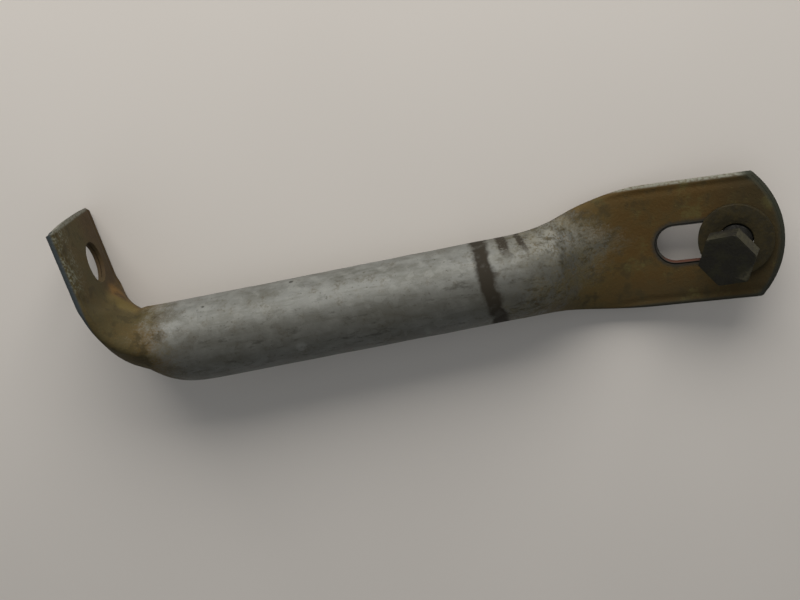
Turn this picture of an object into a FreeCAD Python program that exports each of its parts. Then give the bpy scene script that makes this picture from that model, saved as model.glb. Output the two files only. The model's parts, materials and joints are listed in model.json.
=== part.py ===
"""Tubular stay: a steel tube with both ends pressed flat, one bent up as a flange, one slotted.

Design frame, before the stay is laid down: X runs along the tube from the flange bend to the
slotted tab, Y points the way the flange is bent up, Z is the side that the slotted tab faces.
The lying pose then tips it about Y until it rests on the flange's edge and the tube's back,
and moves the middle of its footprint to the origin. Millimetres throughout, +Z up.
"""
import FreeCAD, Part
import math
import os
import Sketcher
from FreeCAD import Placement, Rotation, Vector

os.makedirs("parts", exist_ok=True)
doc = FreeCAD.newDocument("tubular_stay")

# ---------------------------------------------------------------- driving dimensions
SIZES = [
    # the tube, and its layers where it is pressed flat
    ("tube_diameter", 25.4),
    ("wall", 1.2),
    ("layer_gap", 0.2),
    ("bend_spacing", 141.5),
    # the flange end, flattened flush with the side that it is bent towards
    ("flange_bend_angle", 83.7),
    ("flange_inner_radius", 10.0),
    ("flange_press_start", 40.4),
    ("flange_press_length", 45.0),
    ("flange_crown_lag", 2.9),
    ("flange_press_delay", 2.6),
    ("flange_length", 31.2),
    ("flange_end_rise", 0.9),
    ("flange_end_bevel", 0.6),
    ("flange_hole_diameter", 12.7),
    ("flange_hole_height", 16.0),
    ("flange_hole_offset", 5.5),
    # the slotted tab, flattened flush with the tube's back and bent forwards a little
    ("tab_bend_angle", 17.0),
    ("tab_back_radius", 40.0),
    ("tab_press_start", 19.0),
    ("tab_press_length", 43.0),
    ("tab_crown_lag", 0.0),
    ("tab_press_delay", 1.0),
    ("tab_length", 55.2),
    ("tab_end_rise", 7.8),
    ("tab_end_bevel", 2.0),
    ("slot_clearance", 1.7),
    ("slot_length", 28.8),
    ("slot_start", 26.3),
    # the hex bolt
    ("bolt_diameter", 9.4),
    ("bolt_length", 25.4),
    ("bolt_point", 1.0),
    ("head_across_flats", 14.29),
    ("head_height", 6.0),
    ("head_seat_height", 0.4),
    ("head_corner_slope", 0.58),
    # the flat washer
    ("washer_diameter", 21.7),
    ("washer_clearance", 1.2),
    ("washer_thickness", 1.65),
    ("washer_edge", 0.25),
    # how the loose pair lies in the slot
    ("resting_gap", 0.05),
    ("slot_end_gap", 0.5),
    ("washer_shift", 0.35),
    ("bolt_lean_back", 9.5),
    ("bolt_lean_down", 5.0),
    ("bolt_turn", 6.5),
]
sheet = doc.addObject("Spreadsheet::Sheet", "sizes")
for row, (alias, value) in enumerate(SIZES, start=1):
    sheet.set(f"A{row}", alias)
    sheet.set(f"B{row}", str(value))
    sheet.setAlias(f"B{row}", alias)
doc.recompute()


def size(alias):
    """The present value of one driving dimension."""
    return float(sheet.get(alias))


tube_radius = size("tube_diameter") / 2
wall = size("wall")
layer_gap = size("layer_gap")
flat_thickness = 2 * wall + layer_gap
fold_radius = flat_thickness / 2
# pressing a tube flat keeps its girth, which sets the width of the flat
fold_centre = (2 * math.pi * tube_radius - math.pi * flat_thickness) / 4
flat_half_width = fold_centre + fold_radius

UP = Vector(0, 0, 1)


# ---------------------------------------------------------------- cross-sections of the pressed tube
girth = 4 * fold_centre + math.pi * flat_thickness
flat_share = fold_centre / girth
fold_share = math.pi * fold_radius / girth
POINTS_ALONG_FLAT = 11
POINTS_ROUND_FOLD = 7


def round_point(fraction, inset):
    """A point of the round tube, this share of the girth round from the middle of the flush side."""
    turn = 2 * math.pi * fraction
    radius = tube_radius - inset
    return radius * math.sin(turn), tube_radius - radius * math.cos(turn)


def flat_point(fraction, inset):
    """The same point once the tube is pressed flat, its two folds half-round."""
    side = math.copysign(1, fraction) if abs(fraction) <= 0.5 else -1
    along = min(abs(fraction), 1 - abs(fraction)) * girth
    radius = fold_radius - inset
    if along <= fold_centre:
        across, up = along, fold_radius - radius
    elif along <= fold_centre + math.pi * fold_radius:
        turn = (along - fold_centre) / fold_radius
        across = fold_centre + radius * math.sin(turn)
        up = fold_radius - radius * math.cos(turn)
    else:
        across = 2 * fold_centre + math.pi * fold_radius - along
        up = fold_radius + radius
    return side * across, up


class Press:
    """How one end is pressed: over what length, how far its crown lags, how late it closes."""

    def __init__(self, prefix):
        self.length = size(f"{prefix}_press_length")
        self.crown_lag = size(f"{prefix}_crown_lag")
        self.delay = size(f"{prefix}_press_delay")


def eased(share):
    """Smooth step from 0 to 1."""
    share = min(max(share, 0.0), 1.0)
    return share * share * (3 - 2 * share)


def pressed_share(distance, fraction, press):
    """How flat a point is, this far into the press.

    The crown, opposite the flush side, lags, and a delay over 1 keeps most of the press for its end.
    """
    crown = (1 - math.cos(2 * math.pi * fraction)) / 2
    share = (distance - press.crown_lag * crown) / (press.length - press.crown_lag)
    return eased(min(max(share, 0.0), 1.0) ** press.delay)


class Section:
    """One closed section of the tube's outer skin, or of its bore when inset by the wall."""

    def __init__(self, place, distance, press, inset):
        self.origin, self.across_dir, self.up_dir = place
        self.press = press
        self.distance = distance
        self.inset = inset

    def point(self, fraction):
        flat = pressed_share(self.distance, fraction, self.press)
        round_across, round_up = round_point(fraction, self.inset)
        flat_across, flat_up = flat_point(fraction, self.inset)
        across = (1 - flat) * round_across + flat * flat_across
        up = (1 - flat) * round_up + flat * flat_up
        return self.origin + self.across_dir * across + self.up_dir * up

    def edge(self, first, last, count):
        """A smooth edge between two shares of the girth, its end tangents shared with its neighbours."""
        fractions = [first + (last - first) * i / (count - 1) for i in range(count)]
        step = fold_share / 200
        start_slope = (self.point(first + step) - self.point(first)) * (1 / step)
        end_slope = (self.point(last) - self.point(last - step)) * (1 / step)
        curve = Part.BSplineCurve()
        curve.interpolate(
            Points=[self.point(fraction) for fraction in fractions],
            Parameters=fractions,
            InitialTangent=start_slope,
            FinalTangent=end_slope,
            Scale=False,
        )
        return curve.toShape()

    def straight_edge(self, first, last):
        return Part.makeLine(self.point(first), self.point(last))

    def wire(self):
        crown_start = flat_share + fold_share
        return Part.Wire([
            self.edge(-flat_share, flat_share, POINTS_ALONG_FLAT),
            self.edge(flat_share, crown_start, POINTS_ROUND_FOLD),
            self.edge(crown_start, 1 - crown_start, POINTS_ALONG_FLAT),
            self.edge(1 - crown_start, 1 - flat_share, POINTS_ROUND_FOLD),
        ])

    def flat_wire(self):
        """The wire once it is pressed right down, its two faces truly straight."""
        crown_start = flat_share + fold_share
        return Part.Wire([
            self.straight_edge(-flat_share, flat_share),
            self.edge(flat_share, crown_start, POINTS_ROUND_FOLD),
            self.straight_edge(crown_start, 1 - crown_start),
            self.edge(1 - crown_start, 1 - flat_share, POINTS_ROUND_FOLD),
        ])


# ---------------------------------------------------------------- the two bent paths of the flush side
class FlushPath:
    """Straight, round a bend, straight on: the line of the side that stays flush."""

    def __init__(self, start, ahead, up_dir, straight, radius, angle, turns_up):
        self.start = start
        self.ahead = ahead
        self.up_dir = up_dir
        self.straight = straight
        self.radius = radius
        self.angle = math.radians(angle)
        self.turns_up = turns_up
        self.across_dir = up_dir.cross(ahead)

    def at(self, distance):
        """Origin, width direction and thickness direction of the section at this distance."""
        side = 1 if self.turns_up else -1
        turned = min(max((distance - self.straight) / self.radius, 0.0), self.angle)
        before = min(distance, self.straight)
        after = max(distance - self.straight - self.radius * self.angle, 0.0)
        ahead_now = self.ahead * math.cos(turned) + self.up_dir * (side * math.sin(turned))
        up_now = self.up_dir * math.cos(turned) - self.ahead * (side * math.sin(turned))
        origin = self.start + self.ahead * (before + self.radius * math.sin(turned))
        origin = origin + self.up_dir * (side * self.radius * (1 - math.cos(turned)))
        return origin + ahead_now * after, self.across_dir, up_now

    def bend_end(self):
        return self.straight + self.radius * self.angle


flange_angle = size("flange_bend_angle")
flange_radius = size("flange_inner_radius")
flange_tangent = flange_radius * math.tan(math.radians(flange_angle) / 2)
flange_press_start = size("flange_press_start")
flange_press = Press("flange")
flange_path = FlushPath(
    start=Vector(flange_press_start, tube_radius, 0),
    ahead=Vector(-1, 0, 0),
    up_dir=Vector(0, -1, 0),
    straight=flange_press_start - flange_tangent,
    radius=flange_radius,
    angle=flange_angle,
    turns_up=False,
)

tab_angle = size("tab_bend_angle")
tab_radius = size("tab_back_radius")
tab_tangent = tab_radius * math.tan(math.radians(tab_angle) / 2)
tab_press_start = size("tab_press_start")
tab_press = Press("tab")
tab_path = FlushPath(
    start=Vector(size("bend_spacing") - tab_press_start, 0, -tube_radius),
    ahead=Vector(1, 0, 0),
    up_dir=Vector(0, 0, 1),
    straight=tab_press_start - tab_tangent,
    radius=tab_radius,
    angle=tab_angle,
    turns_up=True,
)

TRIM_ROOM = 6.0
flange_flat_start = max(flange_press.length, flange_path.bend_end())
flange_tip = flange_path.bend_end() - flange_tangent + size("flange_length") + size("flange_end_rise")
tab_flat_start = max(tab_press.length, tab_path.bend_end())
tab_tip = tab_path.bend_end() - tab_tangent + size("tab_length") + size("tab_end_rise")
SECTIONS_PER_END = 13


def pressed_end(name, path, press, flat_start, tip, inset):
    """One pressed end: the press and bend lofted through many sections, then the straight flat."""
    sections = []
    for i in range(SECTIONS_PER_END):
        distance = flat_start * i / (SECTIONS_PER_END - 1)
        section = doc.addObject("Part::Feature", f"{name}_section_{i}")
        section.Shape = Section(path.at(distance), distance, press, inset).wire()
        sections.append(section)
    shoulder = doc.addObject("Part::Loft", f"{name}_shoulder")
    shoulder.Sections = sections
    shoulder.Solid = True
    shoulder.Ruled = False
    flat_section = doc.addObject("Part::Feature", f"{name}_flat_section")
    flat_section.Shape = Section(path.at(flat_start), flat_start, press, inset).flat_wire()
    flat = doc.addObject("Part::Extrusion", f"{name}_flat")
    flat.Base = flat_section
    flat.DirMode = "Custom"
    flat.Dir = path.at(flat_start + 1)[0] - path.at(flat_start)[0]
    flat.LengthFwd = tip - flat_start + (TRIM_ROOM if inset == 0 else 2 * TRIM_ROOM)
    flat.Solid = True
    return shoulder, flat


def tube_skin(name, inset):
    """The whole tube as one solid: middle, pressed flange end and pressed tab end."""
    flange_pieces = pressed_end(
        f"{name}_flange", flange_path, flange_press, flange_flat_start, flange_tip, inset)
    tab_pieces = pressed_end(
        f"{name}_tab", tab_path, tab_press, tab_flat_start, tab_tip, inset)
    middle = doc.addObject("Part::Cylinder", f"{name}_middle")
    middle.setExpression("Radius", f"sizes.tube_diameter / 2 - {inset}")
    middle.setExpression("Height", "sizes.bend_spacing - sizes.tab_press_start - sizes.flange_press_start")
    middle.Placement = Placement(Vector(flange_press_start, 0, 0), Rotation(Vector(0, 1, 0), 90))
    skin = doc.addObject("Part::MultiFuse", name)
    skin.Shapes = [*flange_pieces, middle, *tab_pieces]
    return skin


# ---------------------------------------------------------------- cutters for the two flats
def frame_at(path, distance):
    """Placement on the flush face: its own X ahead, Y across the width, Z through the thickness."""
    origin, across_dir, up_dir = path.at(distance)
    ahead = across_dir.cross(up_dir)
    return Placement(origin, Rotation(ahead, across_dir, up_dir, "XYZ"))


def vertex_frame(path, tangent):
    """The same, with its origin where the flush face's two straight lines would meet."""
    frame = frame_at(path, path.bend_end())
    return frame.multiply(Placement(Vector(-tangent, 0, 0), Rotation()))


flange_frame = vertex_frame(flange_path, flange_tangent)
tab_frame = vertex_frame(tab_path, tab_tangent)
CUT_ROOM = 5.0


def cutter_cylinder(name, radius_expression, frame, along, across):
    """A round cutter through a flat, on its thickness direction."""
    cutter = doc.addObject("Part::Cylinder", name)
    cutter.setExpression("Radius", radius_expression)
    cutter.setExpression("Height", f"2 * sizes.wall + sizes.layer_gap + {2 * CUT_ROOM}")
    cutter.Placement = frame.multiply(Placement(Vector(along, across, -CUT_ROOM), Rotation()))
    return cutter


def slot_cutter():
    """A slot with round ends: two cylinders and the box between their axes."""
    width = size("bolt_diameter") + size("slot_clearance")
    radius = "(sizes.bolt_diameter + sizes.slot_clearance) / 2"
    near = size("slot_start") + width / 2
    far = size("slot_start") + size("slot_length") - width / 2
    ends = [
        cutter_cylinder("slot_near_end", radius, tab_frame, near, 0),
        cutter_cylinder("slot_far_end", radius, tab_frame, far, 0),
    ]
    middle = doc.addObject("Part::Box", "slot_middle")
    middle.setExpression("Length", "sizes.slot_length - sizes.bolt_diameter - sizes.slot_clearance")
    middle.setExpression("Width", "sizes.bolt_diameter + sizes.slot_clearance")
    middle.setExpression("Height", f"2 * sizes.wall + sizes.layer_gap + {2 * CUT_ROOM}")
    middle.Placement = tab_frame.multiply(Placement(Vector(near, -width / 2, -CUT_ROOM), Rotation()))
    slot = doc.addObject("Part::MultiFuse", "slot_cutter")
    slot.Shapes = ends + [middle]
    return slot


def end_cutter(name, frame, prefix):
    """Takes away what lies past the rounded end: a box less the disc and cone that are kept."""
    length = size(f"{prefix}_length")
    rise = size(f"{prefix}_end_rise")
    radius = (flat_half_width ** 2 + rise ** 2) / (2 * rise)
    centre = length + rise - radius
    half_width = "(pi * (sizes.tube_diameter - 2 * sizes.wall - sizes.layer_gap) / 4" \
                 " + sizes.wall + sizes.layer_gap / 2)"
    end_radius = f"({half_width}^2 + sizes.{prefix}_end_rise^2) / (2 * sizes.{prefix}_end_rise)"
    disc = doc.addObject("Part::Cylinder", f"{name}_disc")
    disc.setExpression("Radius", end_radius)
    disc.setExpression("Height", f"sizes.wall + {CUT_ROOM}")
    disc.Placement = frame.multiply(Placement(Vector(centre, 0, -CUT_ROOM), Rotation()))
    cone = doc.addObject("Part::Cone", f"{name}_cone")
    cone.setExpression("Radius1", end_radius)
    cone.setExpression("Radius2", f"{end_radius} - sizes.{prefix}_end_bevel")
    cone.setExpression("Height", "sizes.wall + sizes.layer_gap")
    cone.Placement = frame.multiply(Placement(Vector(centre, 0, wall), Rotation()))
    kept = doc.addObject("Part::MultiFuse", f"{name}_kept")
    kept.Shapes = [disc, cone]
    box = doc.addObject("Part::Box", f"{name}_box")
    box.Length = rise + 3 * TRIM_ROOM
    box.Width = 2 * flat_half_width + 2 * TRIM_ROOM
    box.setExpression("Height", "2 * sizes.wall + sizes.layer_gap + 2")
    corner = Vector(length - TRIM_ROOM / 2, -flat_half_width - TRIM_ROOM, -1)
    box.Placement = frame.multiply(Placement(corner, Rotation()))
    cutter = doc.addObject("Part::Cut", name)
    cutter.Base = box
    cutter.Tool = kept
    return cutter


# ---------------------------------------------------------------- the brace: skin, less holes, less bore
hole_cutter = cutter_cylinder(
    "flange_hole_cutter",
    "sizes.flange_hole_diameter / 2",
    flange_frame,
    size("flange_hole_height"),
    size("flange_hole_offset"),
)
cutters = doc.addObject("Part::MultiFuse", "cutters")
cutters.Shapes = [
    slot_cutter(),
    hole_cutter,
    end_cutter("flange_end_cutter", flange_frame, "flange"),
    end_cutter("tab_end_cutter", tab_frame, "tab"),
]
pierced = doc.addObject("Part::Cut", "pierced")
pierced.Base = tube_skin("outer", 0.0)
pierced.Tool = cutters
brace = doc.addObject("Part::Cut", "brace_tube")
brace.Label = "brace_tube"
brace.Base = pierced
brace.Tool = tube_skin("bore", wall)
doc.recompute()


# ---------------------------------------------------------------- sketch helpers for the turned pieces
def origin_plane(body, role):
    """One of a body's own origin planes, by its role."""
    return [feature for feature in body.Origin.OriginFeatures if feature.Role == role][0]


def outline_sketch(body, name, plane, corners):
    """A closed outline in a body's plane; each corner is a pair of size expressions."""
    sketch = body.newObject("Sketcher::SketchObject", name)
    sketch.AttachmentSupport = [(origin_plane(body, plane), "")]
    sketch.MapMode = "FlatFace"
    finder = doc.addObject("App::FeaturePython", f"{name}_corners")
    for i, pair in enumerate(corners):
        for axis, expression in zip("xy", pair):
            finder.addProperty("App::PropertyFloat", f"{axis}{i}")
            finder.setExpression(f"{axis}{i}", expression)
    doc.recompute()
    count = len(corners)
    spots = [Vector(getattr(finder, f"x{i}"), getattr(finder, f"y{i}"), 0) for i in range(count)]
    for here, there in zip(spots, spots[1:] + spots[:1]):
        sketch.addGeometry(Part.LineSegment(here, there), False)
    for i in range(count):
        sketch.addConstraint(Sketcher.Constraint("Coincident", i, 2, (i + 1) % count, 1))
    for i, pair in enumerate(corners):
        for axis, expression in zip("xy", pair):
            if expression == "0":
                on_axis = -2 if axis == "x" else -1
                sketch.addConstraint(Sketcher.Constraint("PointOnObject", i, 1, on_axis))
                continue
            at = getattr(finder, f"{axis}{i}")
            index = sketch.addConstraint(Sketcher.Constraint(f"Distance{axis.upper()}", -1, 1, i, 1, at))
            sketch.setExpression(f"Constraints[{index}]", f"{finder.Name}.{axis}{i}")
    return sketch


def turned(body, kind, name, sketch):
    """A full turn of an outline about the body's own Z axis, added or taken away."""
    feature = body.newObject(kind, name)
    feature.Profile = sketch
    feature.ReferenceAxis = (sketch, ["V_Axis"])
    feature.Angle = 360
    sketch.Visibility = False
    return feature


# ---------------------------------------------------------------- the flat washer
def make_washer():
    """A punched flat washer: a ring with its edges eased, bottom face at its own origin."""
    body = doc.addObject("PartDesign::Body", "flat_washer")
    body.Label = "flat_washer"
    hole = "(sizes.bolt_diameter + sizes.washer_clearance) / 2"
    rim = "sizes.washer_diameter / 2"
    edge = "sizes.washer_edge"
    thick = "sizes.washer_thickness"
    ring = outline_sketch(body, "washer_outline", "XZ_Plane", [
        (f"{hole} + {edge}", "0"),
        (f"{rim} - {edge}", "0"),
        (rim, edge),
        (rim, f"{thick} - {edge}"),
        (f"{rim} - {edge}", thick),
        (f"{hole} + {edge}", thick),
        (hole, f"{thick} - {edge}"),
        (hole, edge),
    ])
    turned(body, "PartDesign::Revolution", "washer_ring", ring)
    return body


# ---------------------------------------------------------------- the hex bolt
SEAT_SHARE = 0.95   # the round seat under the head, and the round left on top, as a share of the flats
REACH_SHARE = 1.3   # how far out the cut that turns off the corners reaches, past the corners


def make_bolt():
    """Shank and seat turned in one, a hexagon on top, and its corners turned off."""
    body = doc.addObject("PartDesign::Body", "hex_bolt")
    body.Label = "hex_bolt"
    shank = "sizes.bolt_diameter / 2"
    flats = "sizes.head_across_flats / 2"
    seat = "sizes.head_seat_height"
    core = outline_sketch(body, "shank_outline", "XZ_Plane", [
        ("0", "-sizes.bolt_length"),
        (f"{shank} - sizes.bolt_point", "-sizes.bolt_length"),
        (shank, "sizes.bolt_point - sizes.bolt_length"),
        (shank, "0"),
        (f"{flats} * {SEAT_SHARE}", "0"),
        (f"{flats} * {SEAT_SHARE}", seat),
        ("0", seat),
    ])
    turned(body, "PartDesign::Revolution", "shank_and_seat", core)
    hexagon = outline_sketch(body, "hexagon", "XY_Plane", [
        (f"{flats} / cos(30 deg) * cos({60 * i} deg)", f"{flats} / cos(30 deg) * sin({60 * i} deg)")
        if i % 3 else (f"{flats} / cos(30 deg) * {1 if i == 0 else -1}", "0")
        for i in range(6)
    ])
    hexagon.AttachmentOffset = Placement(Vector(0, 0, size("head_seat_height")), Rotation())
    hexagon.setExpression(".AttachmentOffset.Base.z", "sizes.head_seat_height")
    head = body.newObject("PartDesign::Pad", "head")
    head.Profile = hexagon
    head.setExpression("Length", "sizes.head_height - sizes.head_seat_height")
    hexagon.Visibility = False
    reach = f"{flats} * {REACH_SHARE}"
    slope_run = f"({reach} - {flats} * {SEAT_SHARE})"
    corners = outline_sketch(body, "corner_outline", "XZ_Plane", [
        (f"{flats} * {SEAT_SHARE}", "sizes.head_height"),
        (reach, f"sizes.head_height - {slope_run} * sizes.head_corner_slope"),
        (reach, "sizes.head_height + 1"),
        (f"{flats} * {SEAT_SHARE}", "sizes.head_height + 1"),
    ])
    turned(body, "PartDesign::Groove", "corners_turned_off", corners)
    return body


washer = make_washer()
bolt = make_bolt()
doc.recompute()


# ---------------------------------------------------------------- how the stay lies
MESH_STEP = 0.1
STEEPEST_TILT = 20
TILT_HALVINGS = 40


def resting_tilt(shape):
    """Turn about Y that brings the two lowest points, one each side of the weight, level."""
    points = shape.tessellate(MESH_STEP)[0]
    weight_x = shape.CenterOfMass.x
    low, high = 0.0, math.radians(STEEPEST_TILT)
    for _ in range(TILT_HALVINGS):
        tilt = (low + high) / 2
        left = min(p.z * math.cos(tilt) - p.x * math.sin(tilt) for p in points if p.x < weight_x)
        right = min(p.z * math.cos(tilt) - p.x * math.sin(tilt) for p in points if p.x >= weight_x)
        if left < right:
            low = tilt
        else:
            high = tilt
    return math.degrees(low)


def lying_placement(shape):
    """Tipped on to its resting points, the middle of its footprint moved to the origin."""
    turn = Rotation(Vector(0, 1, 0), resting_tilt(shape))
    box = shape.transformed(Placement(Vector(), turn).toMatrix()).optimalBoundingBox(False)
    middle = Vector((box.XMin + box.XMax) / 2, (box.YMin + box.YMax) / 2, box.ZMin)
    return Placement(Vector() - middle, turn)


lying = lying_placement(brace.Shape.Solids[0])
brace.Placement = lying

# the washer lies on the tab's front face, under the bolt's head
lean_back = math.tan(math.radians(size("bolt_lean_back")))
lean_down = math.tan(math.radians(size("bolt_lean_down")))
washer_middle = flat_thickness + size("resting_gap") + size("washer_thickness") / 2
shank_reach = size("bolt_diameter") / 2 / math.cos(math.radians(size("bolt_lean_back")))
slot_end = size("slot_start") + size("slot_length")
bolt_along = slot_end - size("slot_end_gap") - shank_reach - washer_middle * lean_back
bolt_across = -size("washer_shift")
tab_lying = lying.multiply(tab_frame)
washer_spot = Vector(bolt_along, bolt_across, flat_thickness + size("resting_gap"))
washer.Placement = tab_lying.multiply(Placement(washer_spot, Rotation()))

# the bolt leans in its clearance and stands on its point; it drops no lower than its seat
lean_axis = Vector(-lean_back, -lean_down, 1).normalize()
lean_turn = Rotation(UP, lean_axis).multiply(Rotation(UP, size("bolt_turn")))
bolt_middle = Vector(bolt_along, bolt_across, washer_middle)


def bolt_placement(seat_height):
    """The bolt with its seat this far up its own axis from the middle of the washer."""
    spot = bolt_middle + lean_axis * seat_height
    return tab_lying.multiply(Placement(spot, lean_turn))


def seat_to_clear_washer():
    """Lowest seat height at which the leaning head's rim still clears the washer's face."""
    rim = size("head_across_flats") / 2 / math.cos(math.radians(30))
    dip = rim * math.sqrt(1 - lean_axis.z ** 2)
    return (size("washer_thickness") / 2 + dip + size("resting_gap")) / lean_axis.z


def seat_to_stand():
    """Seat height at which the bolt's point just clears what the stay lies on."""
    placed = bolt.Shape.copy()
    placed.Placement = bolt_placement(0)
    lowest = placed.optimalBoundingBox(False).ZMin
    axis_up = tab_lying.Rotation.multVec(lean_axis).z
    return (size("resting_gap") - lowest) / axis_up


seated = seat_to_clear_washer()
standing = max(seat_to_stand(), seated)
bolt.Placement = bolt_placement(standing)
doc.recompute()

# ---------------------------------------------------------------- checks, then the STEP files
NODES = [brace, washer, bolt]
for item in doc.Objects:
    for trouble in ("Invalid", "Error"):
        if trouble in item.State:
            raise RuntimeError(f"{item.Name} is {trouble}")
for node in NODES:
    if node.Shape.isNull() or not node.Shape.isValid():
        raise RuntimeError(f"{node.Label} has no valid shape")
    if len(node.Shape.Solids) != 1:
        raise RuntimeError(f"{node.Label} is not one solid")
for i, first in enumerate(NODES):
    for second in NODES[i + 1:]:
        overlap = first.Shape.common(second.Shape).Volume
        if overlap > 0.001:
            raise RuntimeError(f"{first.Label} and {second.Label} overlap by {overlap:.3f} mm3")
for node in NODES:
    node.Shape.exportStep(f"parts/{node.Label}.step")
    box = node.Shape.optimalBoundingBox(False)
    sides = f"{box.XLength:.1f} x {box.YLength:.1f} x {box.ZLength:.1f}"
    print(f"{node.Label}: {node.Shape.Volume:.1f} mm3, {sides}")


# places on the flat faces, clear of the hole, the slot and the ends
EDGE_MARGIN = 6
ASIDE_OF_HOLE = 8
ASIDE_OF_SLOT = 12


def say(name, vector, digits=4):
    print(f"{name}: {[round(part, digits) for part in vector]}")


tab_ahead = tab_lying.Rotation.multVec(Vector(1, 0, 0))
tab_normal = tab_lying.Rotation.multVec(UP)
bolt_axis = tab_lying.Rotation.multVec(lean_axis)
flange_lying = lying.multiply(flange_frame)
print(f"resting tilt: {math.degrees(lying.Rotation.Angle):.3f} deg")
say("tab direction", tab_ahead)
say("tab normal", tab_normal)
say("bolt axis", bolt_axis)
say("bolt seat", bolt.Placement.Base)
say("bolt point", bolt.Placement.Base - bolt_axis * size("bolt_length"))
say("washer middle", tab_lying.multVec(bolt_middle))
say("flange normal", flange_lying.Rotation.multVec(UP))
hole_spot = Vector(size("flange_hole_height"), size("flange_hole_offset"), 0)
say("flange hole", flange_lying.multVec(hole_spot))
slot_middle_along = size("slot_start") + size("slot_length") / 2
say("slot centre, back face", tab_lying.multVec(Vector(slot_middle_along, 0, 0)))
print(f"bolt can drop {standing - seated:.2f} until the head's rim meets the washer")
bolt_at_front = bolt_along + (washer_middle - flat_thickness) * lean_back
slot_travel = bolt_at_front - size("slot_start") - shank_reach - size("slot_end_gap")
print(f"washer and bolt can move {slot_travel:.2f} along the slot")
point_height = standing - size("bolt_length") + washer_middle / lean_axis.z
print(f"thread stands {-point_height:.2f} out of the tab's back, along the bolt")
slot_near = tab_lying.multVec(Vector(size("slot_start"), 0, 0))
say("slot near end, back face", slot_near)
washer_rim = bolt_middle - Vector(size("washer_diameter") / 2, 0, 0)
say("washer edge nearest the tube", tab_lying.multVec(washer_rim))
face_spot = Vector(size("flange_length") - EDGE_MARGIN, -ASIDE_OF_HOLE, flat_thickness)
say("flange face", flange_lying.multVec(face_spot))
say("tab back face", tab_lying.multVec(Vector(slot_middle_along, ASIDE_OF_SLOT, 0)))
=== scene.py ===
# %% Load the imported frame
import json
import math
import bpy
from mathutils import Matrix, Vector, noise


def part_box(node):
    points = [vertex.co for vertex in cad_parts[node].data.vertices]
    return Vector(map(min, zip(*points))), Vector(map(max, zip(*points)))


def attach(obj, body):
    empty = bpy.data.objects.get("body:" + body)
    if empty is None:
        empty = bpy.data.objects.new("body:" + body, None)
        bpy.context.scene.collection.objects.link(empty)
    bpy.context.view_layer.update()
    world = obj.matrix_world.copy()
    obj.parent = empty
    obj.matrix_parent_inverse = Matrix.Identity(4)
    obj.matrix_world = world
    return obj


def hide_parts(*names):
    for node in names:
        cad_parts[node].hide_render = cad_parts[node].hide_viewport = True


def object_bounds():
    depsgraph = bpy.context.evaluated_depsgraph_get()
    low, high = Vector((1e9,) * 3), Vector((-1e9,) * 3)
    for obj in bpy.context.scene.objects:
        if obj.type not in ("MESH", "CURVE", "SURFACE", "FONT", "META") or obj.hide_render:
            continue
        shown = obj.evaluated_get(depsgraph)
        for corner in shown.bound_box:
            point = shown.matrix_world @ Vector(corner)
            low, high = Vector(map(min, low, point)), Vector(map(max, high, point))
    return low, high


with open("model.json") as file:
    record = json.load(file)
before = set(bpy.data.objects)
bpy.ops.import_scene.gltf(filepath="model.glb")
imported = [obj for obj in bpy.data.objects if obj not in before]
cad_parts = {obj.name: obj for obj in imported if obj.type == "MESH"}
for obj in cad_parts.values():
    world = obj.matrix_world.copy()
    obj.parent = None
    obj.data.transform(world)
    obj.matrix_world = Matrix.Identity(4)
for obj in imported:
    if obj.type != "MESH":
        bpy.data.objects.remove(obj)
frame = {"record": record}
cad_box = [list(corner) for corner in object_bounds()]
record = frame["record"]
print("CAD box in metres:", cad_box)

# %% [markdown]
# # A galvanised tube stay with its loose bolt
# The real thing is one length of one-inch galvanised tube. A press has squeezed both of its ends flat:
# one is bent square as a drilled flange, the other is a slotted tab that leans a little out of line.
# A rusty hex bolt and a flat washer lie loose in the slot.
#
# Every size below is in millimetres, as a maker would quote it, and `mm()` turns it to Blender's metres.

# %% Sizes
MM = 0.001
TUBE_RADIUS = 12.7
WALL = 1.2
LAYER_GAP = 0.2
BEND_SPACING = 141.5
FLAT_THICKNESS = 2 * WALL + LAYER_GAP
FOLD_RADIUS = FLAT_THICKNESS / 2
FOLD_CENTRE = (2 * math.pi * TUBE_RADIUS - math.pi * FLAT_THICKNESS) / 4
FLAT_HALF_WIDTH = FOLD_CENTRE + FOLD_RADIUS
GIRTH = 4 * FOLD_CENTRE + math.pi * FLAT_THICKNESS
FLANGE = {
    "angle": 83.7, "radius": 10.0, "press_start": 40.4, "press_length": 45.0, "lag": 2.9, "delay": 2.6,
    "length": 31.2, "rise": 0.9, "bevel": 0.6,
}
TAB = {
    "angle": 17.0, "radius": 40.0, "press_start": 19.0, "press_length": 43.0, "lag": 0.0, "delay": 1.0,
    "length": 55.2, "rise": 7.8, "bevel": 2.0,
}
HOLE = {"radius": 6.35, "height": 16.0, "offset": 5.5}
SLOT = {"radius": 5.55, "start": 26.3, "length": 28.8}
print(f"the pressed flats come out {2 * FLAT_HALF_WIDTH:.1f} mm wide, from the tube's own girth")


def mm(value):
    """Millimetres to metres."""
    return value * MM


# %% [markdown]
# ## Where the stay lies
# The tube is easiest to think of with its length along X and the tab's bend in a clean plane. On the
# table it is tipped a couple of degrees, until the flange's edge and the tube's back both touch. The
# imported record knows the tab's true direction and the middle of its slot, so the tip and the shift
# are worked out from those two.

# %% From the straight-laid stay to the lying one
mounts = {mount["name"]: mount for mount in record["mounts"]}
joints = {joint["name"]: joint for joint in record["behaviour"]["joints"]}
tab_ahead = Vector(joints["washer_slot_slide"]["axis"]).normalized()
tab_bend = math.radians(TAB["angle"])
tip = tab_bend - math.atan2(tab_ahead.z, tab_ahead.x)
lying_turn = Matrix.Rotation(tip, 3, "Y")

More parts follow.
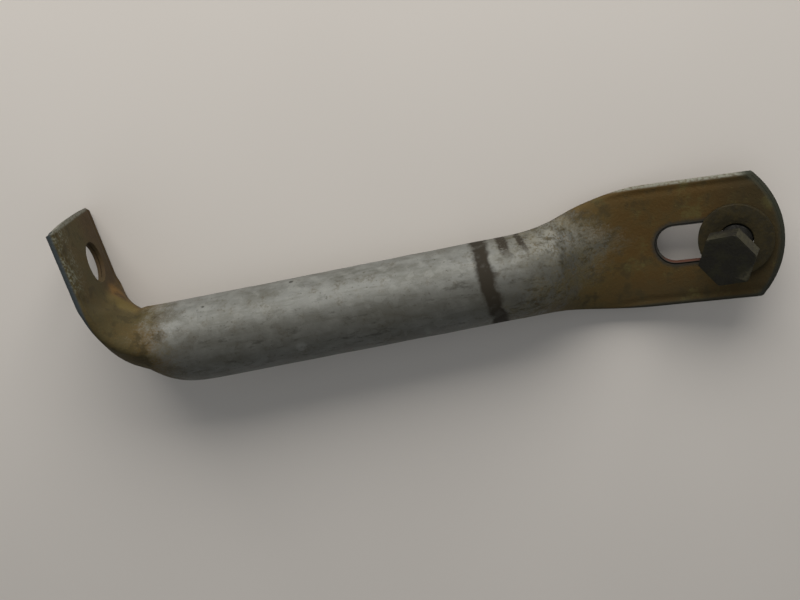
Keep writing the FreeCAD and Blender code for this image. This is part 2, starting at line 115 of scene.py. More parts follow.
tab_vertex = Vector((BEND_SPACING, 0, -TUBE_RADIUS))
tab_forward = Vector((math.cos(tab_bend), 0, math.sin(tab_bend)))
tab_up = Vector((-math.sin(tab_bend), 0, math.cos(tab_bend)))
slot_middle = tab_vertex + tab_forward * (SLOT["start"] + SLOT["length"] / 2) + tab_up * FLAT_THICKNESS / 2
shift = Vector(mounts["tab_slot"]["pos_m"]) / MM - lying_turn @ slot_middle
print(f"the stay is tipped {math.degrees(tip):.2f} degrees and shifted {[round(c, 2) for c in shift]} mm")


def laid(point):
    """A point of the straight-laid stay, in mm, as it lies on the table, in metres."""
    return (lying_turn @ point + shift) * MM


# %% [markdown]
# ## How a tube goes flat
# Pressing doesn't stretch the steel, so the girth stays the same: each point of the round skin moves
# to the point of the flat one that is just as far round. One side, the flush side, stays in line with
# the tube's back; the other side, the crown, comes down to meet it.

# %% Round skin, flat skin and the blend between them
def round_point(share):
    """Where a point this share of the way round the tube stands: across, and above the flush side."""
    turn = 2 * math.pi * share
    return TUBE_RADIUS * math.sin(turn), TUBE_RADIUS - TUBE_RADIUS * math.cos(turn)


def flat_point(share):
    """The same point once it is pressed: its distance across, and its height off the flush face."""
    side = math.copysign(1, share)
    along = abs(share) * GIRTH
    fold_length = math.pi * FOLD_RADIUS
    if along <= FOLD_CENTRE:
        return side * along, 0.0
    if along <= FOLD_CENTRE + fold_length:
        turn = (along - FOLD_CENTRE) / FOLD_RADIUS
        return side * (FOLD_CENTRE + FOLD_RADIUS * math.sin(turn)), FOLD_RADIUS - FOLD_RADIUS * math.cos(turn)
    return side * (2 * FOLD_CENTRE + fold_length - along), 2 * FOLD_RADIUS


def eased(share):
    """A share from 0 to 1 that starts and stops gently."""
    share = min(max(share, 0.0), 1.0)
    return share * share * (3 - 2 * share)


def pressed_share(distance, share, end):
    """How far the section is pressed here: the crown side lags behind the flush side."""
    crown = (1 - math.cos(2 * math.pi * share)) / 2
    way = (distance - end["lag"] * crown) / (end["press_length"] - end["lag"])
    return eased(min(max(way, 0.0), 1.0) ** end["delay"])


print("half-way round, a point of the flat is", [round(c, 2) for c in flat_point(0.25)], "mm from its middle")

# %% [markdown]
# ## The bent path
# The flush side runs straight, round its bend, and straight on. `place_on_path` gives, at any distance
# from where the pressing starts, a point on that line and the two directions of the section there.

# %% Paths of the flush side
PATHS = {
    "flange": {"end": FLANGE, "ahead": Vector((-1, 0, 0)), "up": Vector((0, -1, 0)), "side": -1,
               "start": Vector((FLANGE["press_start"], TUBE_RADIUS, 0))},
    "tab": {"end": TAB, "ahead": Vector((1, 0, 0)), "up": Vector((0, 0, 1)), "side": 1,
            "start": Vector((BEND_SPACING - TAB["press_start"], 0, -TUBE_RADIUS))},
}
for path in PATHS.values():
    end = path["end"]
    angle = math.radians(end["angle"])
    path["tangent"] = end["radius"] * math.tan(angle / 2)
    path["straight"] = end["press_start"] - path["tangent"]
    path["bend_end"] = path["straight"] + end["radius"] * angle
    path["flat_start"] = max(end["press_length"], path["bend_end"])
    path["tip"] = path["bend_end"] - path["tangent"] + end["length"] + end["rise"]
    path["end_radius"] = (FLAT_HALF_WIDTH ** 2 + end["rise"] ** 2) / (2 * end["rise"])
    print(f"bend of {end['angle']} degrees: flat from {path['flat_start']:.1f} to {path['tip']:.1f} mm")


def place_on_path(path, distance):
    """Origin, forward, across and up at this distance along the flush side."""
    end = path["end"]
    turned = min(max((distance - path["straight"]) / end["radius"], 0.0), math.radians(end["angle"]))
    before = min(distance, path["straight"])
    after = max(distance - path["bend_end"], 0.0)
    forward = path["ahead"] * math.cos(turned) + path["up"] * (path["side"] * math.sin(turned))
    up = path["up"] * math.cos(turned) - path["ahead"] * (path["side"] * math.sin(turned))
    origin = path["start"] + path["ahead"] * (before + end["radius"] * math.sin(turned))
    origin = origin + path["up"] * (path["side"] * end["radius"] * (1 - math.cos(turned)))
    return origin + forward * after, forward, up.cross(forward), up


# %% [markdown]
# ## Small handling helpers
# Blender's operators act on whatever is selected, so every step starts from a clean selection.

# %% Selection helpers
def select_only(*objects):
    """Object mode, with only these selected and the first one active."""
    if bpy.context.object and bpy.context.object.mode != "OBJECT":
        bpy.ops.object.mode_set(mode="OBJECT")
    bpy.ops.object.select_all(action="DESELECT")
    for item in objects:
        item.select_set(True)
    bpy.context.view_layer.objects.active = objects[0]


def select_parts(item, kind, wanted):
    """Edit mode with just the vertices, edges or faces that the test picks."""
    select_only(item)
    bpy.ops.object.mode_set(mode="EDIT")
    bpy.ops.mesh.select_mode(type=kind)
    bpy.ops.mesh.select_all(action="DESELECT")
    bpy.ops.object.mode_set(mode="OBJECT")
    mesh = item.data
    parts = {"VERT": mesh.vertices, "EDGE": mesh.edges, "FACE": mesh.polygons}[kind]
    for part in parts:
        part.select = bool(wanted(part))
    bpy.ops.object.mode_set(mode="EDIT")


def finish_edit(item):
    """Faces turned outwards, back in object mode, object at the origin."""
    bpy.ops.object.mode_set(mode="EDIT")
    bpy.ops.mesh.select_all(action="SELECT")
    bpy.ops.mesh.normals_make_consistent(inside=False)
    bpy.ops.object.mode_set(mode="OBJECT")
    select_only(item)
    bpy.ops.object.transform_apply(location=True, rotation=True, scale=True)


def apply_modifier(item, kind, name, **settings):
    """Adds one modifier, sets it, and applies it."""
    select_only(item)
    modifier = item.modifiers.new(name, kind)
    for key, value in settings.items():
        setattr(modifier, key, value)
    bpy.ops.object.modifier_apply(modifier=modifier.name)


def cut_away(item, cutter):
    """Boolean difference, then the cutter goes."""
    apply_modifier(item, "BOOLEAN", "cut", operation="DIFFERENCE", solver="EXACT", object=cutter)
    bpy.data.objects.remove(cutter, do_unlink=True)


# %% [markdown]
# ## The tube's skin
# The start is an open cylinder, as the tube-maker's is. Its long edges are selected and subdivided, so
# it gets enough rings to bend. There is no bending operator that works without a window, and no
# modifier that keeps a girth while it flattens, so each ring is then laid on the bent path, point by
# point, with the section it has there. Rings stand close together where the steel turns sharply.

# %% Where the rings stand
COLUMNS = 168
SHOULDER_STEP = 1.0
MIDDLE_STEP = 2.0
FLAT_STEP = 1.3


def spread(first, last, step):
    """Evenly spread distances, both ends included, about one step apart."""
    count = max(2, round(abs(last - first) / step) + 1)
    return [first + (last - first) * i / (count - 1) for i in range(count)]


flange_rings = spread(FLANGE["length"] - PATHS["flange"]["tangent"], 0, FLAT_STEP)[:-1]
rings = [("flange_flat", along) for along in flange_rings]
rings += [("flange", s) for s in spread(PATHS["flange"]["flat_start"], 0, SHOULDER_STEP)]
middle_end = BEND_SPACING - TAB["press_start"]
rings += [("middle", x) for x in spread(FLANGE["press_start"], middle_end, MIDDLE_STEP)[1:-1]]
rings += [("tab", s) for s in spread(0, PATHS["tab"]["flat_start"], SHOULDER_STEP)]
tab_flat_length = PATHS["tab"]["tip"] - TAB["rise"] - PATHS["tab"]["flat_start"]
rings += [("tab_flat", along) for along in spread(0, tab_flat_length, FLAT_STEP)[1:]]
if len(rings) % 2 == 0:
    first_middle = [kind for kind, _ in rings].index("middle")
    rings.insert(first_middle, ("middle", (FLANGE["press_start"] + rings[first_middle][1]) / 2))
print(f"{len(rings)} rings of {COLUMNS} points")

# %% [markdown]
# The press leaves its own marks: the flats are a little dished, a shallow groove runs just inside each
# folded edge so the fold stands up as a bead, and the tight bend puckers. The pucker is about a
# millimetre deep and the other marks a few tenths, all added to the clean section.

# %% Marks of the press
BEAD_WIDTH = 2.4
BEAD_GROOVE = 0.34
GROOVE_WIDTH = 1.1
DISH = 0.16
PUCKER_DEPTH = 1.15
PUCKER_WIDTH = 1.9
PUCKER_REACH = 0.22
RIPPLE_AT = 1.5
LEDGE_AT = 8.2
LEDGE_SHARE = 0.75
FLANGE_CORNER = 4.0
CORNER_GRIP = 0.999
HAMMER_SIZE = 9.0
HAMMER_DEPTH = 0.10


def bump_of(offset, width):
    """A bell-shaped bump, 1 in its middle."""
    return math.exp(-(offset / width) ** 2)


def press_marks(path_name, distance, share, flat, across):
    """How far a point is pushed into the steel, in mm, by the press's own marks."""
    from_edge = FLAT_HALF_WIDTH - abs(across)
    groove = BEAD_GROOVE * bump_of(from_edge - BEAD_WIDTH, GROOVE_WIDTH)
    dish = DISH * max(0.0, 1 - (across / FOLD_CENTRE) ** 2)
    depth = flat ** 3 * (groove + dish)
    if path_name == "flange" and abs(share) < PUCKER_REACH:
        past_bend = distance - PATHS["flange"]["straight"]
        ripple = bump_of(past_bend - RIPPLE_AT - 1.2 * math.sin(across * 0.33), PUCKER_WIDTH)
        ledge = bump_of(past_bend - LEDGE_AT - 0.9 * math.sin(across * 0.4 + 1.0), PUCKER_WIDTH * 0.8)
        depth += PUCKER_DEPTH * (ripple - LEDGE_SHARE * ledge) * (1 - (abs(share) / PUCKER_REACH) ** 2)
    return depth


# %% Each ring laid in its place
def ring_point(kind, distance, column):
    """One point of the skin, in the straight-laid stay."""
    turn = 2 * math.pi * column / COLUMNS
    if kind == "middle":
        return Vector((distance, TUBE_RADIUS * math.cos(turn), TUBE_RADIUS * math.sin(turn)))
    name = kind.split("_")[0]
    path = PATHS[name]
    end = path["end"]
    share = -turn / (2 * math.pi) if name == "flange" else (turn + math.pi / 2) / (2 * math.pi)
    share = (share + 0.5) % 1.0 - 0.5
    along = path["flat_start"] + distance if kind.endswith("flat") else distance
    flat = 1.0 if kind.endswith("flat") else pressed_share(along, share, end)
    round_across, round_up = round_point(share)
    flat_across, flat_up = flat_point(share)
    across = (1 - flat) * round_across + flat * flat_across
    height = (1 - flat) * round_up + flat * flat_up
    crown_side = flat_up / FLAT_THICKNESS
    height += press_marks(name, along, share, flat, across) * (1 - 2 * crown_side)
    if kind.endswith("flat"):
        # the last ring follows the rounded end, the ones before it close up towards it
        reach = path["end_radius"] - math.sqrt(path["end_radius"] ** 2 - across ** 2)
        if name == "flange":
            # the corner nearest the table is rounded off
            past_corner = max(0.0, across - (FLAT_HALF_WIDTH - FLANGE_CORNER))
            reach += FLANGE_CORNER - math.sqrt(max(0.0, FLANGE_CORNER ** 2 - past_corner ** 2)) * CORNER_GRIP
        full = path["tip"] - path["flat_start"]
        limit = full - reach - end["bevel"] * max(0.0, crown_side - 0.3) / 0.7
        straight_length = full - end["rise"]
        along = path["flat_start"] + distance / straight_length * limit
    origin, forward, across_dir, up = place_on_path(path, along)
    return origin + across_dir * across + up * height


# %% The cylinder that becomes the tube
bpy.ops.object.select_all(action="DESELECT")
bpy.ops.mesh.primitive_cylinder_add(
    vertices=COLUMNS, radius=mm(TUBE_RADIUS), depth=mm(BEND_SPACING), end_fill_type="NOTHING")
tube = bpy.context.object
tube.name = "pressed_tube"


def runs_along(edge):
    """An edge that follows the cylinder's length."""
    low, high = (tube.data.vertices[i].co.z for i in edge.vertices)
    return abs(low - high) > mm(0.1)


# one go makes at most a hundred cuts, so the edges are cut once, then each piece in half
for cuts in ((len(rings) - 1) // 2 - 1, 1):
    select_parts(tube, "EDGE", runs_along)
    bpy.ops.mesh.subdivide(number_cuts=cuts)
    bpy.ops.object.mode_set(mode="OBJECT")
print("skin has", len(tube.data.vertices), "points for", len(rings) * COLUMNS)

# %% Every point to its ring and column
half_length = mm(BEND_SPACING) / 2
for vertex in tube.data.vertices:
    ring = round((vertex.co.z + half_length) / (2 * half_length) * (len(rings) - 1))
    column = round(math.atan2(vertex.co.y, vertex.co.x) / (2 * math.pi) * COLUMNS) % COLUMNS
    kind, distance = rings[ring]
    point = ring_point(kind, distance, column)
    if kind == "middle":
        outward = Vector((0, point.y, point.z)).normalized()
        point = point + outward * noise.noise(point / HAMMER_SIZE) * HAMMER_DEPTH
    vertex.co = laid(point)
lows, highs = ([pick(v.co[i] for v in tube.data.vertices) for i in range(3)] for pick in (min, max))
print("tube is", [round((high - low) / MM, 1) for low, high in zip(lows, highs)], "mm")

# %% [markdown]
# ## Closing the two ends
# The last ring of each end is one loop: the flush row, the crown row and the two folds. Each row is
# selected on its own and the pair is bridged, which gives one strip of four-sided faces; what is left
# open at the two folds is a small half-round, and filling it closes the skin.

# %% End faces
def row_test(name, flush):
    """Picks the edges of an end's flush row or crown row, by how high they stand off the flush face."""
    path = PATHS[name]
    origin, forward, across_dir, up = place_on_path(path, path["tip"])
    base = laid(origin)
    turned_up = lying_turn @ up
    turned_forward = lying_turn @ forward
    reach_back = path["end"]["rise"] + path["end"]["bevel"] + 1 + (FLANGE_CORNER if name == "flange" else 0)

    def wanted(edge):
        ends = [tube.data.vertices[i].co - base for i in edge.vertices]
        if edge.index not in open_edges:
            return False
        if any(end.dot(turned_forward) < -mm(reach_back) for end in ends):
            return False
        heights = [end.dot(turned_up) / MM for end in ends]
        middle = FLAT_THICKNESS / 2
        return all(height < middle - 0.01 for height in heights) if flush else all(
            height > middle + 0.01 for height in heights)

    return wanted


def find_open_edges(item):
    """The edges that only one face uses."""
    counts = {}
    for face in item.data.polygons:
        for key in face.edge_keys:
            counts[key] = counts.get(key, 0) + 1
    return {edge.index for edge in item.data.edges if counts.get(edge.key, 0) == 1}


for name in ("flange", "tab"):
    open_edges = find_open_edges(tube)
    flush_row = row_test(name, True)
    crown_row = row_test(name, False)
    select_parts(tube, "EDGE", lambda edge: flush_row(edge) or crown_row(edge))
    bpy.ops.mesh.bridge_edge_loops()
    bpy.ops.object.mode_set(mode="OBJECT")
    print(name, "end bridged, open edges left:", len(find_open_edges(tube)))

# %% Fold ends filled
select_parts(tube, "VERT", lambda vertex: True)
bpy.ops.mesh.fill_holes(sides=6)
finish_edit(tube)
print("open edges left:", len(find_open_edges(tube)))

# %% [markdown]
# ## The hole, the slot and the seam
# A punch goes through both layers at once and rolls their rims over. So each cutter is a cylinder
# whose two ends flare out in three small steps, the way a rounded rim does, and the boolean leaves a
# rim that catches the light. The slot's cutter is the same one with half of it pulled along.
# The two layers of each flat also show a hairline seam between them, which a thin box cuts.

# %% Frames of the two flats
def flat_frame(name):
    """Where the flush face's straight lines would meet, as a matrix: X ahead, Y across, Z thickness."""
    path = PATHS[name]
    origin, forward, across_dir, up = place_on_path(path, path["bend_end"])
    vertex = laid(origin - forward * path["tangent"])
    turn = Matrix((lying_turn @ forward, lying_turn @ across_dir, lying_turn @ up)).transposed()
    return Matrix.Translation(vertex) @ turn.to_4x4()


HOLE_RIM = 0.3
SLOT_RIM = 0.6
RIM_STEPS = ((0.5, 0.134), (0.87, 0.5), (1.0, 1.0))
CUTTER_ROOM = 2.0


def flared_cutter(name, radius, rim):
    """A round cutter through a flat, flared at both faces, its middle at the flat's middle."""
    bpy.ops.object.select_all(action="DESELECT")
    bpy.ops.mesh.primitive_cylinder_add(
        vertices=96, radius=mm(radius), depth=mm(FLAT_THICKNESS - 2 * rim), location=(0, 0, 0))
    cutter = bpy.context.object
    cutter.name = name
    for side in (1, -1):
        select_parts(cutter, "FACE", lambda face: face.normal.z * side > 0.9)
        reached = 0.0
        present = radius
        for rise, widening in RIM_STEPS + ((1.0 + CUTTER_ROOM / rim, 1.0),):
            height = side * mm(rim * (rise - reached))
            bpy.ops.mesh.extrude_region_move(TRANSFORM_OT_translate={"value": (0, 0, height)})
            wider = (radius + rim * widening) / present
            bpy.ops.transform.resize(value=(wider, wider, 1), center_override=(0, 0, 0))
            reached = rise
            present = radius + rim * widening
        bpy.ops.object.mode_set(mode="OBJECT")
    return cutter


def put(item, matrix):
    """Moves an object there and applies the move, so its place is in its mesh."""
    item.matrix_world = matrix
    select_only(item)
    bpy.ops.object.transform_apply(location=True, rotation=True, scale=True)


# %% Flange hole
flange_frame = flat_frame("flange")
hole_cutter = flared_cutter("hole_punch", HOLE["radius"], HOLE_RIM)
put(hole_cutter, flange_frame @ Matrix.Translation(
    Vector((HOLE["height"], HOLE["offset"], FLAT_THICKNESS / 2)) * MM))
cut_away(tube, hole_cutter)
print("after the hole:", len(tube.data.polygons), "faces, open edges", len(find_open_edges(tube)))

# %% Tab slot
tab_frame = flat_frame("tab")
slot_cutter = flared_cutter("slot_punch", SLOT["radius"], SLOT_RIM)
select_parts(slot_cutter, "VERT", lambda vertex: vertex.co.x > mm(0.01))
bpy.ops.transform.translate(value=(mm(SLOT["length"] - 2 * SLOT["radius"]), 0, 0))
bpy.ops.object.mode_set(mode="OBJECT")
put(slot_cutter, tab_frame @ Matrix.Translation(
    Vector((SLOT["start"] + SLOT["radius"], 0, FLAT_THICKNESS / 2)) * MM))
cut_away(tube, slot_cutter)
print("after the slot:", len(tube.data.polygons), "faces, open edges", len(find_open_edges(tube)))

# %% The seam between the two layers
SEAM_START = 1.5
SEAM_PAST_END = 3
for name, matrix in (("flange", flange_frame), ("tab", tab_frame)):
    path = PATHS[name]
    first = path["flat_start"] - path["bend_end"] + path["tangent"] + SEAM_START
    length = path["end"]["length"] + path["end"]["rise"] + SEAM_PAST_END - first
    bpy.ops.object.select_all(action="DESELECT")
    bpy.ops.mesh.primitive_cube_add(size=1, location=(0, 0, 0))
    seam = bpy.context.object
    seam.scale = (mm(length), mm(2 * FOLD_CENTRE), mm(LAYER_GAP))
    select_only(seam)
    bpy.ops.object.transform_apply(location=True, rotation=True, scale=True)
    put(seam, matrix @ Matrix.Translation(Vector((first + length / 2, 0, FLAT_THICKNESS / 2)) * MM))
    cut_away(tube, seam)
    print(name, "seam cut, open edges", len(find_open_edges(tube)))

# %% Shading of the tube
select_only(tube)
bpy.ops.object.shade_smooth_by_angle(angle=math.radians(35))
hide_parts("brace_tube")
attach(tube, "brace")
print("pressed tube:", len(tube.data.polygons), "faces")

# %% [markdown]
# ## The flat washer
# A washer is stamped from sheet: the blanking die rolls one edge of the rim and the hole and leaves the
# other crisper, and years outdoors round both. It starts as a short cylinder; both faces are inset to
# the size of the hole, and bridging the two inset faces opens it. A bevel then rounds every rim.

# %% Washer
WASHER = {"radius": 21.7 / 2, "hole": 5.0, "thickness": 1.65, "edge": 0.3}
WAVE = {"size": 6, "height": 0.05}
NICK = {"size": 1.6, "depth": 0.35, "from": 0.25}
low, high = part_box("flat_washer")
washer_middle = (Vector(low) + Vector(high)) / 2
bpy.ops.object.select_all(action="DESELECT")
bpy.ops.mesh.primitive_cylinder_add(
    vertices=128, radius=mm(WASHER["radius"]), depth=mm(WASHER["thickness"]), location=(0, 0, 0))
washer = bpy.context.object
washer.name = "stamped_washer"
select_parts(washer, "FACE", lambda face: abs(face.normal.z) > 0.9)
bpy.ops.mesh.inset(thickness=mm(WASHER["radius"] - WASHER["hole"]))
bpy.ops.mesh.bridge_edge_loops()
finish_edit(washer)
apply_modifier(washer, "BEVEL", "worn_rims", width=mm(WASHER["edge"]), segments=4, limit_method="ANGLE")
for vertex in washer.data.vertices:
    # the sheet is a little wavy and the rim has small nicks
    wave = noise.noise(vertex.co / mm(WAVE["size"])) * WAVE["height"]
    bite = noise.noise(vertex.co / mm(NICK["size"]) + Vector((7, 3, 1)))
    nick = max(0.0, bite - NICK["from"]) * NICK["depth"]
    outward = Vector((vertex.co.x, vertex.co.y, 0)).normalized()
    on_rim = vertex.co.xy.length > mm(WASHER["radius"] - 0.5)
    vertex.co += Vector((0, 0, mm(wave))) - outward * mm(nick if on_rim else 0)
tab_turn = tab_frame.to_3x3()
put(washer, Matrix.Translation(washer_middle) @ tab_turn.to_4x4())
select_only(washer)
bpy.ops.object.shade_smooth_by_angle(angle=math.radians(40))
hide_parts("flat_washer")
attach(washer, "washer")
print("washer:", len(washer.data.polygons), "faces, open edges", len(find_open_edges(washer)))

# %% [markdown]
# ## The hex bolt
# The head is forged: a hexagon whose corners are turned off by a shallow cone, with a thin round seat
# beneath. A six-sided cylinder intersected with a cone gives exactly those curved corner arcs. The
# shank is rolled: its thread is one ridge that climbs a fixed pitch each turn, so each point of a
# finely divided cylinder moves in or out by where it stands on that helix.

# %% Bolt sizes and place
BOLT = {"radius": 4.7, "length": 25.4, "flats": 14.29, "head": 6.0, "seat": 0.4, "point": 1.0, "slope": 0.58}
THREAD_PITCH = 25.4 / 16
THREAD_DEPTH = 0.6134 * THREAD_PITCH
THREAD_FADE = 1.6
THREAD_CREST = 0.16
THREAD_FLANK = 0.62
PLAIN_NECK = 0.6
EDGE_WEAR = 0.34
SEAT_IN_HEAD = 0.5
BOLT_TURN = math.radians(6.5)
MOUNT_FROM_POINT = 6.2
thread_mount = mounts["bolt_thread"]
bolt_axis = -Vector(thread_mount["axis"]).normalized()
seat_spot = Vector(thread_mount["pos_m"]) + bolt_axis * mm(BOLT["length"] - MOUNT_FROM_POINT)
lean_in_tab = tab_turn.transposed() @ bolt_axis
lean = Vector((0, 0, 1)).rotation_difference(lean_in_tab).to_matrix()
bolt_turn = tab_turn @ lean @ Matrix.Rotation(BOLT_TURN, 3, "Z")
bolt_matrix = Matrix.Translation(seat_spot) @ bolt_turn.to_4x4()
print("the head's seat stands", round(seat_spot.z / MM, 2), "mm above the table")

# %% Bolt head
head_circle = BOLT["flats"] / 2 / math.cos(math.radians(30))
seat_circle = 0.95 * BOLT["flats"] / 2
top_circle = 1.1 * BOLT["flats"] / 2
head_height = BOLT["head"] - BOLT["seat"]
bpy.ops.object.select_all(action="DESELECT")
bpy.ops.mesh.primitive_cylinder_add(
    vertices=6, radius=mm(head_circle), depth=mm(head_height),
    location=(0, 0, mm(BOLT["seat"] + head_height / 2)), rotation=(0, 0, math.radians(30)))
head = bpy.context.object
head.name = "corroded_bolt"
bpy.ops.object.transform_apply(location=True, rotation=True, scale=True)
CONE_DEPTH = 7.0
bpy.ops.mesh.primitive_cone_add(
    vertices=128, radius1=mm(top_circle + CONE_DEPTH / BOLT["slope"]), radius2=mm(top_circle),
    depth=mm(CONE_DEPTH), location=(0, 0, mm(BOLT["head"] - CONE_DEPTH / 2)))
cone = bpy.context.object
apply_modifier(head, "BOOLEAN", "corners", operation="INTERSECT", solver="EXACT", object=cone)
bpy.data.objects.remove(cone, do_unlink=True)
apply_modifier(head, "BEVEL", "worn_edges", width=mm(EDGE_WEAR), segments=3, limit_method="ANGLE",
               angle_limit=math.radians(20))
print("head:", len(head.data.polygons), "faces, open edges", len(find_open_edges(head)))

# %% Seat and threaded shank
bpy.ops.object.select_all(action="DESELECT")
bpy.ops.mesh.primitive_cylinder_add(
    vertices=96, radius=mm(seat_circle), depth=mm(BOLT["seat"] + SEAT_IN_HEAD),
    location=(0, 0, mm((BOLT["seat"] + SEAT_IN_HEAD) / 2)))
seat = bpy.context.object
apply_modifier(seat, "BEVEL", "seat_edge", width=mm(0.12), segments=2, limit_method="ANGLE")

SHANK_COLUMNS = 72
SHANK_ROOM = 0.8
SHANK_CUTS = 81
bpy.ops.object.select_all(action="DESELECT")
bpy.ops.mesh.primitive_cylinder_add(
    vertices=SHANK_COLUMNS, radius=mm(BOLT["radius"]), depth=mm(BOLT["length"] + SHANK_ROOM),
    location=(0, 0, mm((SHANK_ROOM - BOLT["length"]) / 2)))
shank = bpy.context.object
bpy.ops.object.transform_apply(location=True, rotation=True, scale=True)


def along_shank(edge):
    """An edge that follows the shank's length."""
    low, high = (shank.data.vertices[i].co.z for i in edge.vertices)
    return abs(low - high) > mm(0.05)


for cuts in (SHANK_CUTS, 1):
    select_parts(shank, "EDGE", along_shank)
    bpy.ops.mesh.subdivide(number_cuts=cuts)
    bpy.ops.object.mode_set(mode="OBJECT")


def thread_radius(height, turn):
    """Radius of the rolled thread at this height below the seat and this angle."""
    phase = (height / THREAD_PITCH - turn / (2 * math.pi)) % 1.0
    from_crest = abs(phase - 0.5) * 2
    sunk = min(max((from_crest - THREAD_CREST) / THREAD_FLANK, 0.0), 1.0)
    fade = eased((-height - PLAIN_NECK) / THREAD_FADE)
    radius = BOLT["radius"] - THREAD_DEPTH * sunk * fade
    from_point = height + BOLT["length"]
    return min(radius, BOLT["radius"] - BOLT["point"] + from_point)


for vertex in shank.data.vertices:
    height = vertex.co.z / MM
    radius = thread_radius(height, math.atan2(vertex.co.y, vertex.co.x))
    flat = vertex.co.xy.normalized() * mm(radius)
    vertex.co.x, vertex.co.y = flat
for part in (seat, shank):
    apply_modifier(head, "BOOLEAN", "forged_in_one", operation="UNION", solver="EXACT", object=part)
    bpy.data.objects.remove(part, do_unlink=True)
bolt = head
put(bolt, bolt_matrix)
select_only(bolt)
bpy.ops.object.shade_smooth_by_angle(angle=math.radians(32))
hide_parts("hex_bolt")
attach(bolt, "bolt")
print("bolt:", len(bolt.data.polygons), "faces, open edges", len(find_open_edges(bolt)))

# %% [markdown]
# ## Finishes
# Each finish is a small tree of nodes. One function adds a node, sets it and fills its sockets, and
# colours are written as the hex values a painter would pick, turned to linear light by one function.
# Patterns read Object coordinates, which here are metres in the stay's own frame, so `per_mm` turns
# the real size of a feature into the scale the texture nodes want.

# %% Node and colour helpers
def linear(code):
    """An sRGB hex colour as the linear red, green, blue and alpha that a socket takes."""
    parts = [int(code[i:i + 2], 16) / 255 for i in (1, 3, 5)]
    return [p / 12.92 if p <= 0.04045 else ((p + 0.055) / 1.055) ** 2.4 for p in parts] + [1.0]


def per_mm(size):
    """Texture scale whose features come out this many millimetres across."""
    return 1000 / size


def add_node(tree, kind, settings=None, sockets=None):
    """Adds one node, sets its properties, then fills its sockets with values or with other sockets."""
    node = tree.nodes.new(kind)
    for name, value in (settings or {}).items():
        setattr(node, name, value)
    for name, value in (sockets or {}).items():
        if isinstance(value, bpy.types.NodeSocket):
            tree.links.new(value, node.inputs[name])
        else:
            node.inputs[name].default_value = value
    return node


def new_finish(name):
    """An empty finish with its shader, its output and the coordinates its patterns read."""
    finish = bpy.data.materials.new(name)
    finish.use_nodes = True
    tree = finish.node_tree
    tree.nodes.clear()
    shader = add_node(tree, "ShaderNodeBsdfPrincipled")
    output = add_node(tree, "ShaderNodeOutputMaterial", sockets={"Surface": shader.outputs[0]})
    output.is_active_output = True
    place = add_node(tree, "ShaderNodeTexCoord").outputs["Object"]
    return finish, tree, shader, place


# %% Patterns built from the helper
def grain(tree, place, size, detail=3.0, roughness=0.55, stretch=None, shift=(0, 0, 0)):
    """Fractal noise with features this size in mm, as a 0 to 1 value."""
    if stretch or shift != (0, 0, 0):
        place = add_node(tree, "ShaderNodeMapping", {"vector_type": "POINT"}, {
            "Vector": place, "Scale": stretch or (1, 1, 1), "Location": shift}).outputs[0]
    return add_node(tree, "ShaderNodeTexNoise", {"noise_dimensions": "3D"}, {
        "Vector": place, "Scale": per_mm(size), "Detail": detail, "Roughness": roughness}).outputs[0]


def between(tree, value, low, high, to_low=0.0, to_high=1.0):
    """A smooth step of a value, from one number to another."""
    return add_node(tree, "ShaderNodeMapRange", {"interpolation_type": "SMOOTHSTEP", "clamp": True}, {
        "Value": value, "From Min": low, "From Max": high, "To Min": to_low, "To Max": to_high}).outputs[0]


def reckon(tree, operation, first, second=0.0, third=None):
    """One sum on values."""
    node = add_node(tree, "ShaderNodeMath", {"operation": operation})
    for index, value in enumerate((first, second, third)):
        if value is None:
            continue
        if isinstance(value, bpy.types.NodeSocket):
            tree.links.new(value, node.inputs[index])
        else:
            node.inputs[index].default_value = value
    return node.outputs[0]


def coat(tree, under, over, share):
    """Lays one colour over another where the share is high."""
    node = add_node(tree, "ShaderNodeMix", {"data_type": "RGBA"})
    for index, value in ((0, share), (6, under), (7, over)):
        if isinstance(value, bpy.types.NodeSocket):
            tree.links.new(value, node.inputs[index])
        else:
            node.inputs[index].default_value = linear(value) if isinstance(value, str) else value
    return node.outputs[2]


print("node helpers ready")

# %% [markdown]
# ## Weathered galvanised tube, rusted where it was pressed
# **Hot-dip galvanising** is zinc frozen on to steel. New, it shows bright flakes; outdoors it dulls to
# a grey carbonate bloom with paler and darker clouds, streaked along the length by handling. Pressing
# the ends cracked the zinc there, so both ends have rusted to a dark olive brown, with pale zinc left
# in patches. The change isn't a line: specks of rust start early and join up, so the rust's edge is a
# position along the tube pushed about by noise of several sizes.

# %% Zinc, its clouds, flakes and streaks
tube_finish, tree, shader, place = new_finish("weathered_galvanised_steel")
axes = add_node(tree, "ShaderNodeSeparateXYZ", sockets={"Vector": place}).outputs
clouds = grain(tree, place, 8, detail=6, roughness=0.68, stretch=(0.4, 1, 1))
patches = grain(tree, place, 4.5, detail=6, roughness=0.62, shift=(3, 1, 2))
specks = grain(tree, place, 0.8, detail=4, shift=(7, 5, 1))
grit = grain(tree, place, 0.45, detail=2, shift=(1, 9, 4))
streaks = grain(tree, place, 1.6, detail=3, stretch=(0.12, 1, 1))
scuffs = grain(tree, place, 2.4, detail=6, roughness=0.72, stretch=(0.35, 1, 1), shift=(11, 3, 5))
flakes = add_node(tree, "ShaderNodeTexVoronoi", {"feature": "F1"}, {
    "Vector": place, "Scale": per_mm(2.6)}).outputs["Color"]
flake_tone = add_node(tree, "ShaderNodeSeparateColor", sockets={"Color": flakes}).outputs[0]


def both(*shares):
    """Several shares multiplied together."""
    product = shares[0]
    for share in shares[1:]:
        product = reckon(tree, "MULTIPLY", product, share)
    return product


def either(*shares):
    """The largest of several shares."""
    largest = shares[0]
    for share in shares[1:]:
        largest = reckon(tree, "MAXIMUM", largest, share)
    return largest


